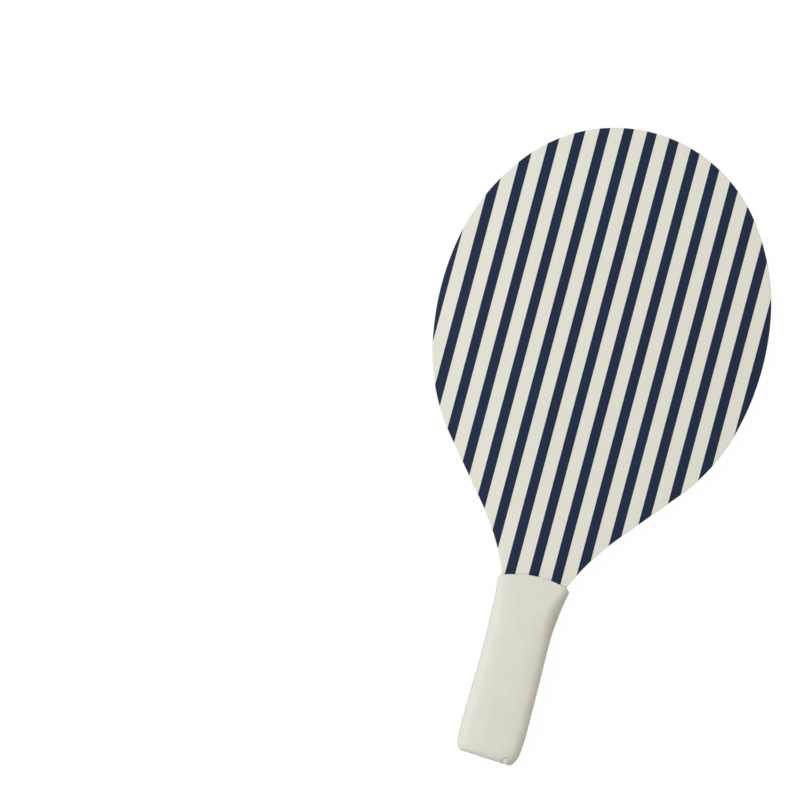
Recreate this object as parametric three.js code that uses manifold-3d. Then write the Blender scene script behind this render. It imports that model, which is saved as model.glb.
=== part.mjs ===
// A frescobol racket: a striped plywood blade whose tang carries two foam pads and a neoprene sleeve.
// Millimetres. X runs across the racket, +Y from the butt to the tip, +Z out of the front face.
// The origin is below the middle of the racket, at the height of the sleeve's underside.
// Until the last lines the model stands with Y at 0 on the neck and Z at 0 in the middle of the plywood.

import * as THREE from 'three';
import { mergeVertices } from 'three/addons/utils/BufferGeometryUtils.js';
import Module from 'manifold-3d';

const { degToRad, lerp } = THREE.MathUtils;

// Blade outline: arcs and a straight that meet tangentially. A lean is the outline's angle from the
// racket's length, outward positive, on the way up from the tang to the tip.
const crownRadius = 109.7;
const shoulderRadius = 154.4;
const sideRadius = 197.7;
const hipRadius = 140.7;
const throatRadius = 183;
const rootRadius = 30;
const tangCorner = 5;
const tangEndLean = degToRad(90);
const neckLean = degToRad(21.7);
const throatLean = degToRad(39.9);
const sideLean = degToRad(14.62);
const shoulderLean = degToRad(-9.69);
const crownLean = degToRad(-38.37);
const tipLean = degToRad(-90);

// Blade thickness
const plyThickness = 1.4;
const printThickness = 0.2;
const inkThickness = 0.1;

// Printed bands, counted from the one nearest the middle line
const bandWidth = 7.2;
const bandPitch = 16.81;
const bandOffset = -1.25;

// Grip
const gripLength = 137.5;
const gripWidth = 48;
const sleeveWall = 3;
const padThickness = 2.9;
const padNose = 0.6;
const padEdgeRound = 2.5;
const gripEdgeRound = 8;
const mouthAboveNeck = 8.35;
const mouthSweep = 10.5;
const buttEdgeRound = 3.5;
const buttCornerFold = 5;
const buttCornerSeam = 7.5;
const buttTilt = degToRad(2.8);

// Seam
const threadDiameter = 0.8;
const threadSetback = 13;

// Fits and making
const fit = 0.3;
const overrun = 5;
const arcSag = 0.03;
const cornerSteps = 5;
const roundingSteps = 5;
const threadSteps = 60;
const threadSides = 6;
const channelSides = 8;

// Sections of the sleeve. Each row holds the place along the grip, from the mouth's crest at 0 to where
// the butt begins to round at 1, then the half width on the fold side, on the seam side, and the half
// depth. Widths are shares of half the grip's width, depths of its half depth.
const sleeveSectionShares = [
  [-0.030, 1.085, 1.118, 0.700],
  [0.027, 1.075, 1.113, 0.725],
  [0.058, 1.067, 1.103, 0.745],
  [0.081, 1.056, 1.088, 0.765],
  [0.111, 1.033, 1.066, 0.795],
  [0.141, 1.013, 1.044, 0.840],
  [0.172, 1.006, 1.023, 0.890],
  [0.202, 1.006, 1.000, 0.935],
  [0.248, 0.998, 0.971, 0.975],
  [0.293, 0.986, 0.952, 0.995],
  [0.347, 0.977, 0.948, 1.000],
  [0.430, 0.975, 0.956, 1.000],
  [0.521, 0.979, 0.971, 1.000],
  [0.612, 0.985, 0.979, 1.000],
  [0.749, 0.998, 0.985, 1.000],
  [0.886, 1.010, 0.988, 1.000],
  [0.939, 1.002, 0.973, 0.995],
  [1.000, 0.967, 0.925, 0.980],
];
const waistShare = 0.948;

// The mouth's edge, seen from the front: across in shares of half the grip's width, and down from the
// crest in shares of the mouth's sweep.
const mouthShares = [
  [-1.110, 1.500], [-1.066, 0.950], [-1.040, 0.660], [-0.990, 0.490], [-0.900, 0.430],
  [-0.600, 0.238], [-0.190, 0.048], [0.170, 0.000], [0.500, 0.040], [0.800, 0.152],
  [1.004, 0.257], [1.060, 0.340], [1.095, 0.470], [1.115, 0.700], [1.135, 1.100],
];
const mouthCurveSteps = 3;

// Where the pads begin and where they reach their full thickness, in shares as for the sleeve's sections
const padStartShare = 0.097;
const padFullShare = 0.240;

// The most that a rounding may take of the round that it turns, so that the section never turns inside out
const roundingLimitShare = 0.94;

// Looks
const finishes = {
  faceVeneer: { color: 0xd8bf98, roughness: 0.62, metalness: 0 },
  crossVeneer: { color: 0xb9956a, roughness: 0.7, metalness: 0 },
  creamPrint: { color: 0xddddd0, roughness: 0.42, metalness: 0 },
  navyInk: { color: 0x283246, roughness: 0.4, metalness: 0 },
  foam: { color: 0xe4e1d8, roughness: 0.9, metalness: 0 },
  neoprene: { color: 0xdad6cb, roughness: 0.85, metalness: 0 },
  thread: { color: 0xcfcbbe, roughness: 0.8, metalness: 0 },
};

// Worked out from the sizes above
const plyNames = ['back_face_ply', 'back_cross_ply', 'core_ply', 'front_cross_ply', 'front_face_ply'];
const woodHalf = plyThickness * plyNames.length / 2;
const printFace = woodHalf + printThickness;
const inkFace = printFace + inkThickness;
const padFace = inkFace + padThickness;
const gripHalfDepth = padFace + fit + sleeveWall;
const gripHalf = gripWidth / 2;
const edgeRound = Math.min(gripEdgeRound, gripHalfDepth);
const tangHalf = gripHalf * waistShare - sleeveWall - fit;
const mouthCrest = mouthAboveNeck;
const buttEnd = mouthCrest - gripLength;
const bodyLength = gripLength - buttCornerSeam;
const rootStart = -rootRadius * Math.sin(neckLean);
const tangEnd = buttHeight(-tangHalf) + sleeveWall + fit;

const wasm = await Module();
wasm.setup();

// Height of the butt's flat end at a place across the grip. It slants, lowest by the seam's corner.
function buttHeight(x) {
  return buttEnd + Math.tan(buttTilt) * (gripHalf - buttCornerSeam - x);
}

// Height of a place given as a share along the grip
function alongGrip(share) {
  return mouthCrest - share * bodyLength;
}

// How far across an arc of the outline goes while it turns from one lean to another
function reach(radius, fromLean, toLean) {
  return Math.sign(toLean - fromLean) * radius * (Math.cos(fromLean) - Math.cos(toLean));
}

// Length of the straight above the throat, which brings the outline to the tip on the middle line
function throatStraight() {
  const reaches = [
    reach(rootRadius, 0, neckLean),
    reach(throatRadius, neckLean, throatLean),
    reach(hipRadius, throatLean, sideLean),
    reach(sideRadius, sideLean, shoulderLean),
    reach(shoulderRadius, shoulderLean, crownLean),
    reach(crownRadius, crownLean, tipLean),
  ];
  const across = reaches.reduce((sum, value) => sum + value, tangHalf);
  return -across / Math.sin(throatLean);
}

// Right half of the blade's outline, from the tang's end up to the tip, moved outward by grow
function bladeSide(grow) {
  const points = [new THREE.Vector2(tangHalf - tangCorner, tangEnd - grow)];
  let lean = tangEndLean;
  const goStraight = (length) => {
    const last = points[points.length - 1];
    const next = new THREE.Vector2(Math.sin(lean), Math.cos(lean));
    points.push(next.multiplyScalar(length).add(last));
  };
  const goRound = (radius, endLean) => {
    const from = points[points.length - 1];
    const startLean = lean;
    const turn = endLean - startLean;
    const steps = Math.ceil(Math.abs(turn) / (2 * Math.acos(1 - arcSag / radius)));
    for (let step = 1; step <= steps; step++) {
      lean = startLean + turn * step / steps;
      const across = reach(radius, startLean, lean);
      const up = Math.sign(turn) * radius * (Math.sin(lean) - Math.sin(startLean));
      points.push(new THREE.Vector2(from.x + across, from.y + up));
    }
  };
  goRound(tangCorner + grow, 0);
  goStraight(rootStart - points[points.length - 1].y);
  goRound(rootRadius - grow, neckLean);
  goRound(throatRadius - grow, throatLean);
  goStraight(throatStraight());
  goRound(hipRadius + grow, sideLean);
  goRound(sideRadius + grow, shoulderLean);
  goRound(shoulderRadius + grow, crownLean);
  goRound(crownRadius + grow, tipLean);
  return points;
}

// Whole outline of the blade, moved outward by grow
function bladeShape(grow) {
  const right = bladeSide(grow);
  const tip = new THREE.Vector2(0, right.pop().y);
  const left = right.map((point) => new THREE.Vector2(-point.x, point.y)).reverse();
  return new THREE.Shape([...right, tip, ...left]);
}

// Flat piece with the given outline, whose faces lie exactly at the two heights
function slab(shape, low, high) {
  const settings = { depth: high - low, bevelEnabled: false, curveSegments: 1 };
  const geometry = new THREE.ExtrudeGeometry(shape, settings);
  const { position } = geometry.attributes;
  for (let i = 0; i < position.count; i++) {
    position.setZ(i, position.getZ(i) > 0 ? high : low);
  }
  return geometry;
}

function rectangle(left, right, bottom, top) {
  const corners = [[left, bottom], [right, bottom], [right, top], [left, top]];
  return new THREE.Shape(corners.map(([x, y]) => new THREE.Vector2(x, y)));
}

// Closed skin over rings of equal counts, with a fan over each end
function loft(rings) {
  const count = rings[0].length;
  const position = rings.flat().flatMap((point) => [point.x, point.y, point.z]);
  const index = [];
  for (let i = 0; i < rings.length - 1; i++) {
    for (let j = 0; j < count; j++) {
      const a = i * count + j;
      const b = i * count + (j + 1) % count;
      index.push(a, b, b + count, a, b + count, a + count);
    }
  }
  const last = (rings.length - 1) * count;
  for (let j = 1; j < count - 1; j++) {
    index.push(0, j + 1, j);
    index.push(last, last + j, last + j + 1);
  }
  const geometry = new THREE.BufferGeometry();
  geometry.setAttribute('position', new THREE.Float32BufferAttribute(position, 3));
  geometry.setIndex(index);
  return geometry;
}

// Joining and cutting
function toSolid(geometry) {
  const bare = geometry.clone();
  bare.deleteAttribute('normal');
  bare.deleteAttribute('uv');
  const merged = mergeVertices(bare);
  const vertProperties = new Float32Array(merged.attributes.position.array);
  const triVerts = new Uint32Array(merged.index.array);
  return new wasm.Manifold(new wasm.Mesh({ numProp: 3, vertProperties, triVerts }));
}

function toGeometry(solid) {
  const { vertProperties, triVerts } = solid.getMesh();
  const geometry = new THREE.BufferGeometry();
  geometry.setAttribute('position', new THREE.Float32BufferAttribute(vertProperties, 3));
  geometry.setIndex(new THREE.Uint32BufferAttribute(triVerts, 1));
  geometry.computeVertexNormals();
  return geometry;
}

function piece(name, geometry, finish) {
  const mesh = new THREE.Mesh(geometry, new THREE.MeshStandardMaterial(finish));
  mesh.name = name;
  return mesh;
}

// Five plies, glued face to face, the grain of every other one across the racket
function plies() {
  const group = new THREE.Group();
  const shape = bladeShape(0);
  plyNames.forEach((name, i) => {
    const low = plyThickness * i - woodHalf;
    const high = plyThickness * (i + 1) - woodHalf;
    const finish = i % 2 ? finishes.crossVeneer : finishes.faceVeneer;
    group.add(piece(name, slab(shape, low, high), finish));
  });
  return group;
}

// Print of one face: a cream base over the whole face and navy bands along the racket, cut off by its edge
function print(face) {
  const group = new THREE.Group();
  const shape = bladeShape(0);
  group.add(piece(`${face}_print_base`, slab(shape, woodHalf, printFace), finishes.creamPrint));
  const side = bladeSide(0);
  const headHalf = Math.max(...side.map((point) => point.x));
  const tip = side[side.length - 1].y;
  const outline = toSolid(slab(shape, -overrun, inkFace + overrun));
  const first = Math.ceil((-headHalf - bandOffset - bandWidth / 2) / bandPitch);
  const last = Math.floor((headHalf - bandOffset + bandWidth / 2) / bandPitch);
  for (let k = first; k <= last; k++) {
    const left = bandOffset + bandPitch * k - bandWidth / 2;
    const strip = rectangle(left, left + bandWidth, tangEnd - overrun, tip + overrun);
    const band = toSolid(slab(strip, printFace, inkFace)).intersect(outline);
    const number = String(k - first + 1).padStart(2, '0');
    group.add(piece(`${face}_stripe_${number}`, toGeometry(band), finishes.navyInk));
  }
  return group;
}

// Section of a pad: flat on the blade from seat up, its two upper edges rounded in step with its thickness
function padRing(y, half, seat, thickness, grow) {
  const top = inkFace + thickness + grow;
  const round = padEdgeRound * thickness / padThickness + grow;
  const ring = [new THREE.Vector3(-half, y, seat), new THREE.Vector3(half, y, seat)];
  for (const side of [0, 1]) {
    for (let step = 0; step <= cornerSteps; step++) {
      const angle = (side + step / cornerSteps) * Math.PI / 2;
      const centre = side ? round - half : half - round;
      ring.push(new THREE.Vector3(
        centre + round * Math.cos(angle), y, top - round + round * Math.sin(angle)));
    }
  }
  return ring;
}

// Foam pad on the tang: thin under the sleeve's mouth, with the tang's own corners at the butt end.
// With grow it is the room that the sleeve leaves for it.
function padGeometry(seat, grow) {
  const half = tangHalf + grow;
  const corner = tangCorner + grow;
  const end = tangEnd - grow;
  const rings = [
    padRing(alongGrip(padStartShare) + grow, half, seat, padNose, grow),
    padRing(alongGrip(padFullShare) + grow, half, seat, padThickness, grow),
  ];
  for (let step = 0; step <= roundingSteps; step++) {
    const angle = Math.PI / 2 * step / roundingSteps;
    const inset = corner * (1 - Math.cos(angle));
    const y = end + corner * (1 - Math.sin(angle));
    rings.push(padRing(y, half - inset, seat, padThickness, grow));
  }
  return loft(rings);
}

// Outer skin of the sleeve. Each ring goes round the section through four rounded edges. Past the last
// section the butt rounds in, by one radius at the fold, another at the seam and a third at the faces.
function sleeveRing(foldHalf, seamHalf, halfDepth, roundingAngle, height) {
  const round = edgeRound * halfDepth / gripHalfDepth;
  const ring = [];
  for (let quarter = 0; quarter < 4; quarter++) {
    const seamSide = quarter === 0 || quarter === 3;
    const centreX = seamSide ? seamHalf - round : round - foldHalf;
    const centreZ = quarter < 2 ? halfDepth - round : round - halfDepth;
    const sideRound = Math.min(seamSide ? buttCornerSeam : buttCornerFold, round * roundingLimitShare);
    const faceRound = Math.min(buttEdgeRound, round * roundingLimitShare);
    for (let step = 0; step <= cornerSteps; step++) {
      const angle = (quarter + step / cornerSteps) * Math.PI / 2;
      const rounding = lerp(faceRound, sideRound, Math.cos(angle) ** 2);
      const outward = round - rounding * (1 - Math.cos(roundingAngle));
      const x = centreX + outward * Math.cos(angle);
      const z = centreZ + outward * Math.sin(angle);
      const y = height ?? buttHeight(x) + rounding * (1 - Math.sin(roundingAngle));
      ring.push(new THREE.Vector3(x, y, z));
    }
  }
  return ring;
}

function sleeveSkin() {
  const sections = sleeveSectionShares.map(([along, fold, seam, depth]) => (
    [gripHalf * fold, gripHalf * seam, gripHalfDepth * depth, alongGrip(along)]));
  const [endFold, endSeam, endDepth] = sections.pop();
  const rings = sections.map(([fold, seam, depth, height]) => sleeveRing(fold, seam, depth, 0, height));
  for (let step = 0; step <= roundingSteps; step++) {
    const angle = Math.PI / 2 * step / roundingSteps;
    rings.push(sleeveRing(endFold, endSeam, endDepth, angle));
  }
  return loft(rings);
}

// Everything above the mouth's edge, to be cut off the sleeve
function mouthCutter() {
  const edge = new THREE.SplineCurve(mouthShares.map(([across, down]) => (
    new THREE.Vector2(gripHalf * across, mouthCrest - mouthSweep * down))));
  const points = edge.getPoints(mouthShares.length * mouthCurveSteps);
  const top = alongGrip(sleeveSectionShares[0][0]) + overrun;
  points.push(new THREE.Vector2(points[points.length - 1].x, top));
  points.push(new THREE.Vector2(points[0].x, top));
  return slab(new THREE.Shape(points), -gripHalfDepth - overrun, gripHalfDepth + overrun);
}

// The seam's line: down the seam side, round its corner and along the butt to the fold, at the depth
// where a thread lies level with the neoprene. The ends reach further by extra.
function seamLine(extra) {
  const sink = threadDiameter / 2;
  const start = mouthCrest - threadSetback;
  const side = sleeveSectionShares.slice(0, -1)
    .map(([along, , seam]) => new THREE.Vector3(gripHalf * seam - sink, alongGrip(along), 0))
    .filter((point) => point.y < start);
  side[0].y = Math.max(side[0].y, start) + extra;
  const [, endFold, endSeam] = sleeveSectionShares[sleeveSectionShares.length - 1];
  const corner = [];
  for (let step = 0; step <= roundingSteps; step++) {
    const angle = Math.PI / 2 * step / roundingSteps;
    const x = gripHalf * endSeam - sink - (buttCornerSeam - sink) * (1 - Math.cos(angle));
    const y = buttHeight(x) + sink + (buttCornerSeam - sink) * (1 - Math.sin(angle));
    corner.push(new THREE.Vector3(x, y, 0));
  }
  const endX = buttCornerFold - gripHalf * endFold - extra;
  const end = new THREE.Vector3(endX, buttHeight(endX) + sink, 0);
  const middle = corner[corner.length - 1].clone().lerp(end, 1 / 2);
  return new THREE.CatmullRomCurve3([...side, ...corner, middle, end], false, 'centripetal');
}

function seamTube(radius, sides, extra) {
  const section = [];
  for (let i = 0; i < sides; i++) {
    const angle = 2 * Math.PI * i / sides;
    section.push(new THREE.Vector2(radius * Math.cos(angle), radius * Math.sin(angle)));
  }
  const settings = { steps: threadSteps, extrudePath: seamLine(extra), bevelEnabled: false };
  return new THREE.ExtrudeGeometry(new THREE.Shape(section), settings);
}

// Neoprene sleeve: the skin, less the room for blade and pads, the mouth and the seam's channel
function sleeve() {
  const pads = padGeometry(0, fit);
  const cuts = [
    slab(bladeShape(fit), -inkFace - fit, inkFace + fit),
    pads,
    pads.clone().rotateY(Math.PI),
    mouthCutter(),
    seamTube(threadDiameter / 2 + fit, channelSides, fit),
  ];
  let solid = toSolid(sleeveSkin());
  for (const cut of cuts) {
    solid = solid.subtract(toSolid(cut));
  }
  return piece('grip_sleeve', toGeometry(solid), finishes.neoprene);
}

// Assembly. What lies on the back is what lies on the front, turned about the racket's length.
const racket = new THREE.Group();
const back = new THREE.Group();
back.rotation.y = Math.PI;
back.add(print('back'));
back.add(piece('back_grip_pad', padGeometry(inkFace, 0), finishes.foam));
racket.add(plies());
racket.add(print('front'));
racket.add(piece('front_grip_pad', padGeometry(inkFace, 0), finishes.foam));
racket.add(back);
racket.add(sleeve());
racket.add(piece('seam_thread', seamTube(threadDiameter / 2, threadSides, 0), finishes.thread));

// Stand it on the sleeve's underside, with its middle over the origin
const bounds = new THREE.Box3().setFromObject(racket, true);
racket.position.set(0, -(bounds.min.y + bounds.max.y) / 2, gripHalfDepth);
racket.updateMatrixWorld(true);

export default racket;
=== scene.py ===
"""Looks of a frescobol racket: a printed plywood blade and a neoprene sleeve over its padded handle.

Metres, in the frame's axes: +Y from the butt to the tip, +X towards the sleeve's seam, +Z out of the
front face. The middle of the plywood halves the racket's depth. What is called a height is measured
from there towards a face.
"""

import math

import bmesh
import bpy
import numpy as np
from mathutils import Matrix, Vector, noise
from mathutils.geometry import delaunay_2d_cdt


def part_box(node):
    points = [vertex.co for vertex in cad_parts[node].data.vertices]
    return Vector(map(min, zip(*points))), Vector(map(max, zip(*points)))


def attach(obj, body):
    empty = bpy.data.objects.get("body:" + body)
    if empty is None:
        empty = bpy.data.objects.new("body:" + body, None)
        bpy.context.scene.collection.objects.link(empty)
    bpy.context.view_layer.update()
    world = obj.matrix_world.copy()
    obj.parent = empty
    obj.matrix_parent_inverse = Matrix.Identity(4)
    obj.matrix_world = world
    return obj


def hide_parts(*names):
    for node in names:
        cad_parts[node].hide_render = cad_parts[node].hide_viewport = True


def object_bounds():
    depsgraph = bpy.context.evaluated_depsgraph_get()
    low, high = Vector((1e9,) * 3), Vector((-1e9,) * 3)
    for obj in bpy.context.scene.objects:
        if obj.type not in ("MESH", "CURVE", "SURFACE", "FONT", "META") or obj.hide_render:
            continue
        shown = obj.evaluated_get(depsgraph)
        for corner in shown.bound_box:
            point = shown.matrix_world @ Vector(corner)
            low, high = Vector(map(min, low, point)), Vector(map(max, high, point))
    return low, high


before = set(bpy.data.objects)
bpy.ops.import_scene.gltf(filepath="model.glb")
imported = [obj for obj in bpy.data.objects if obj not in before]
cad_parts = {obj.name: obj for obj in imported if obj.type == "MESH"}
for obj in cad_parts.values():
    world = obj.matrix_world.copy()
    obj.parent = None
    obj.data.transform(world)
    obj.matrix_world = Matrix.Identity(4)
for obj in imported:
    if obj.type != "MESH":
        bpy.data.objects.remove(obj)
cad_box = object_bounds()

MM = 0.001
BODY = "root"
FACES = {"front": 1, "back": -1}

# Photograph: the camera hangs over the middle of the picture and looks straight down
PHOTO_SPAN = 578.5 * MM
CAMERA_ABOVE_PRINT = 1.8
PHOTO_TURN = math.radians(14.984)
TIP_TO_CAMERA = 234.04 * MM
AXIS_TO_CAMERA = 127.36 * MM
SENSOR_WIDTH = 36

# Light
KEY_DIRECTION = Vector((-0.66, 0.06, 0.73))
KEY_SHARE = 0.345
KEY_COLOR = (0.96, 1.0, 1.06)
GLANCE_DIRECTION = Vector((-0.95, 0.15, 0.22))
GLANCE_SHARE = 0.028
GLANCE_COLOR = (0.76, 1.0, 1.34)
UNDER_DIRECTION = Vector((0, 0, -1))
UNDER_SHARE = 0.55
UNDER_COLOR = (1.0, 1.0, 1.0)
LAMP_DISTANCE = 3.6
LAMP_SIZE = 1.47
AMBIENT_COLOR = (1.02, 1.0, 0.965)
FLOOR_HALF = 1.5
FLOOR_SHADE = 0.35
FLOOR_SHADOW = 0.05
REST_Y = -140 * MM

# Meshes
SHARP_ANGLE = math.radians(35)
WELD = 0.001 * MM
TINY = 1e-12

# Blade
RIM_ROUND = 0.7 * MM
RIM_FOOT_SLOPE = 0.25
RIM_STEPS = 6
OUTLINE_SPLITS = 3
INSIDE_ONLY = 1
FLAT_TOLERANCE = 1e-5

# Sleeve
WAIST_SLIM = 0.3 * MM
WAIST_Y = -175 * MM
WAIST_REACH = 42 * MM
WAIST_POWER = 4
EDGE_ROUND = 7 * MM
ROLL_ACROSS_SHARE = 0.7
ROLL_DEPTH_SHARE = 0.4
ROLL_POINTED = 0.8
ROLL_BELOW_CREST = 20 * MM
ROLL_REACH = 16 * MM
FLARE = 0.5 * MM
FLARE_BELOW_CREST = 7 * MM
FLARE_REACH = 3 * MM
WALL = 3 * MM
CLEARANCE = 0.15 * MM
CROWN_SHARE = 0.3
CROWN_POWER = 3
INNER_ROUND = (0.6 * MM, 2.5 * MM)
BUTT_INWARD = {"fold": 5 * MM, "seam": 6.5 * MM, "face": 6.5 * MM}
BUTT_UPWARD = {"fold": 6.5 * MM, "seam": 9.5 * MM, "face": 8 * MM}
ROUNDING_LIMIT_SHARE = 0.97
LIP_ROUND = 0.8 * MM
LIP_CORNER_ROUND = 1.8 * MM
LIP_STEPS = 6
LIP_CUT_SHARE = 0.6
RING_STEP = 0.75 * MM
INNER_STEP = 3 * MM
BUTT_STEPS = 15
CAP_STEPS = 12
TOP_POINTS = 50
ARC_POINTS = 12
SIDE_POINTS = 8
GATHERING = 0.45
SETTLING_ROUNDS = 6

# Seam and the give of the neoprene
GROOVE_DEPTH = 0.9 * MM
GROOVE_WIDTH = 0.8 * MM
SHOULDER_HEIGHT = 0.1 * MM
SHOULDER_PLACE = 2.2 * MM
SHOULDER_WIDTH = 1 * MM
STITCH_PITCH = 2.6 * MM
STITCH_PINCH_SHARE = 0.35
STITCH_START = 3.9 * MM
STITCH_HALF = 1.6 * MM
STITCH_RISE = -0.1 * MM
STITCH_DIP = 0.45 * MM
STITCH_TURN_POWER = 8
SEAM_STOP = (1.5 * MM, 6 * MM)
YARN_RADIUS = 0.2 * MM
YARN_SIDES = 7
YARN_STEPS = 8
WRINKLE_HEIGHT = 0.13 * MM
WRINKLE_SIZES = (10 * MM, 34 * MM, 10 * MM)
WRINKLE_SHIFT = 3.7
DIMPLE_HEIGHT = 0.08 * MM
DIMPLE_SIZES = (9 * MM, 11 * MM, 9 * MM)
DIMPLE_SHIFT = 11.3
CREASE_HEIGHT = 0.16 * MM
CREASE_SIZES = (5 * MM, 2.2 * MM, 5 * MM)
CREASE_SHIFT = 5.1
CREASE_REACH = 9 * MM
# Painted shade: the knit's colour is darkened on the seam's side below the mouth and round the butt's
# corner by the knob, where shade falls
PAINTED_SHADE_DEPTH = 0.16
PAINTED_SHADE_FROM_SEAM = 4.5 * MM
PAINTED_SHADE_BELOW_CREST = 24 * MM
PAINTED_SHADE_REACH = (3.5 * MM, 20 * MM)
PAINTED_SHADE_CORNER = (15 * MM, 3 * MM)
PAINTED_SHADE_CORNER_REACH = 7 * MM
PAINTED_SHADE_CORNER_SHARE = 0.5
KNOB_ACROSS = 14.3 * MM
KNOB_ABOVE_BUTT = 2.3 * MM
KNOB_HALVES = (2.3 * MM, 1.9 * MM)
KNOB_HEIGHT = 0.8 * MM
DITCH_DEPTH = 0.9 * MM
DITCH_RADIUS_SHARE = 1.25
DITCH_WIDTH_SHARE = 0.35
DITCH_EVEN_SHARE = 0.6
DITCH_LEAN_SHARE = 0.4
PINCH_ACROSS = 19.8 * MM
PINCH_ABOVE_BUTT = 4.6 * MM
PINCH_REACH = 3.6 * MM
PINCH_DEPTH = 0.8 * MM
TUCK_END = (3.6 * MM, 9.5 * MM)
TUCK_DEPTH = 0.3 * MM
TUCK_WIDTH = 0.9 * MM

# Foam pads
PAD_STEP = 2 * MM
PAD_CORNER = 5 * MM
PAD_EDGE = 2.5 * MM
PAD_POINTS = 8

# Sampling of the CAD solids
SAMPLE_STEP = 1 * MM
MOUTH_STEP = 0.25 * MM
EDGE_GAP = 0.05 * MM
SMOOTHING = 3 * MM
SMOOTHING_REACH = 3
END_SAMPLES = 3


# Shared formulas

def bell(distance, width):
    """A hump that is 1 at no distance and fades over the width"""
    return np.exp(-(distance / width) ** 2)


def unit(rows):
    """Vectors brought to the length 1"""
    return rows / np.linalg.norm(rows, axis=-1)[..., None]


# Reading the frame

def node_edges(name):
    """All edges of a node's mesh as an array of pairs of points"""
    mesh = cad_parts[name].data
    points = np.array([vertex.co for vertex in mesh.vertices])
    pairs = np.array([edge.vertices for edge in mesh.edges])
    return points[pairs]


def crossings(edges, axis, place):
    """Points where a plane square to an axis cuts the edges"""
    start, end = edges[:, 0], edges[:, 1]
    before, after = start[:, axis] - place, end[:, axis] - place
    cut = before * after < 0
    share = before[cut] / (before[cut] - after[cut])
    return start[cut] + share[:, None] * (end[cut] - start[cut])


def upper_outline(name):
    """Corners of a flat node's upper face, in order round it"""
    shell = bmesh.new()
    shell.from_mesh(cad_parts[name].data)
    bmesh.ops.remove_doubles(shell, verts=shell.verts, dist=WELD)
    shell.normal_update()
    following = {}
    for edge in shell.edges:
        ups = sorted(round(face.normal.z) for face in edge.link_faces)
        if ups == [0, 1]:
            first, second = (vertex.index for vertex in edge.verts)
            following.setdefault(first, []).append(second)
            following.setdefault(second, []).append(first)
    shell.verts.ensure_lookup_table()
    order = [min(following)]
    previous = None
    while len(order) < len(following):
        options = [index for index in following[order[-1]] if index != previous]
        previous = order[-1]
        order.append(options[0])
    points = np.array([shell.verts[index].co[:2] for index in order])
    shell.free()
    return points


def refined(points, splits):
    """A closed outline with more points, on smooth curves through the given ones"""
    before, after = np.roll(points, 1, axis=0), np.roll(points, -1, axis=0)
    along = unit(after - before)
    length = np.linalg.norm(after - points, axis=1)[:, None]
    leaving, arriving = length * along, length * np.roll(along, -1, axis=0)
    rows = []
    for step in range(splits):
        t = step / splits
        near = (1 - t) ** 2 * ((1 + 2 * t) * points + t * leaving)
        far = t ** 2 * ((3 - 2 * t) * after - (1 - t) * arriving)
        rows.append(near + far)
    return np.stack(rows, axis=1).reshape(-1, 2)


def counter_clockwise(points):
    """An outline in the counter-clockwise order of its points"""
    x, y = points.T
    area = np.dot(x, np.roll(y, -1)) - np.dot(y, np.roll(x, -1))
    return points if area > 0 else points[::-1]


def inset_outline(points, distance):
    """A counter-clockwise outline moved inward"""
    along = unit(np.roll(points, -1, axis=0) - np.roll(points, 1, axis=0))
    return points + distance * np.stack([-along[:, 1], along[:, 0]], axis=1)


def cut_band(points, left, right):
    """The part of an outline between two lines along the racket"""
    for place, sign in ((left, 1), (right, -1)):
        kept = []
        for start, end in zip(points, np.roll(points, -1, axis=0)):
            inside, next_inside = sign * (start[0] - place) >= 0, sign * (end[0] - place) >= 0
            if inside:
                kept.append(start)
            if inside != next_inside:
                kept.append(start + (end - start) * (place - start[0]) / (end[0] - start[0]))
        points = np.array(kept)
    return points


def smoothed(values, step):
    """Samples along a line, blurred over the smoothing length, with their ends run on straight"""
    spread = SMOOTHING / step
    half = math.ceil(SMOOTHING_REACH * spread)
    weights = np.exp(-0.5 * (np.arange(-half, half + 1) / spread) ** 2)
    start = 2 * values[0] - values[half:0:-1]
    end = 2 * values[-1] - values[-2:-half - 2:-1]
    return np.convolve(np.concatenate([start, values, end]), weights / weights.sum(), mode="valid")


# Making pieces

def new_piece(name, points, faces, slot, replaced=(), attributes=None, weld=False):
    """A smooth mesh piece on the racket's body, with its slot's material, that stands for CAD nodes"""
    mesh = bpy.data.meshes.new(name)
    mesh.from_pydata([tuple(point) for point in points], [], faces)
    for key, values in (attributes or {}).items():
        attribute = mesh.attributes.new(key, "FLOAT", "POINT")
        attribute.data.foreach_set("value", np.asarray(values, np.float32))
    if weld:
        shell = bmesh.new()
        shell.from_mesh(mesh)
        bmesh.ops.remove_doubles(shell, verts=shell.verts, dist=WELD)
        bmesh.ops.dissolve_degenerate(shell, edges=shell.edges, dist=WELD)
        shell.to_mesh(mesh)
        shell.free()
    mesh.shade_smooth()
    mesh.set_sharp_from_angle(angle=SHARP_ANGLE)
    mesh.materials.append(materials[slot])
    piece = bpy.data.objects.new(name, mesh)
    bpy.context.scene.collection.objects.link(piece)
    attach(piece, BODY)
    if replaced:
        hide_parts(*replaced)
    return piece


def ring_faces(rings, count, closed_ends=False):
    """Quads of a skin over rings of equal counts, and flat ends if they are wanted"""
    faces = []
    for i in range(rings - 1):
        for j in range(count):
            a, b = i * count + j, i * count + (j + 1) % count
            faces.append((a, b, b + count, a + count))
    if closed_ends:
        faces.append(tuple(reversed(range(count))))
        faces.append(tuple(range((rings - 1) * count, rings * count)))
    return faces


# Materials

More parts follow.
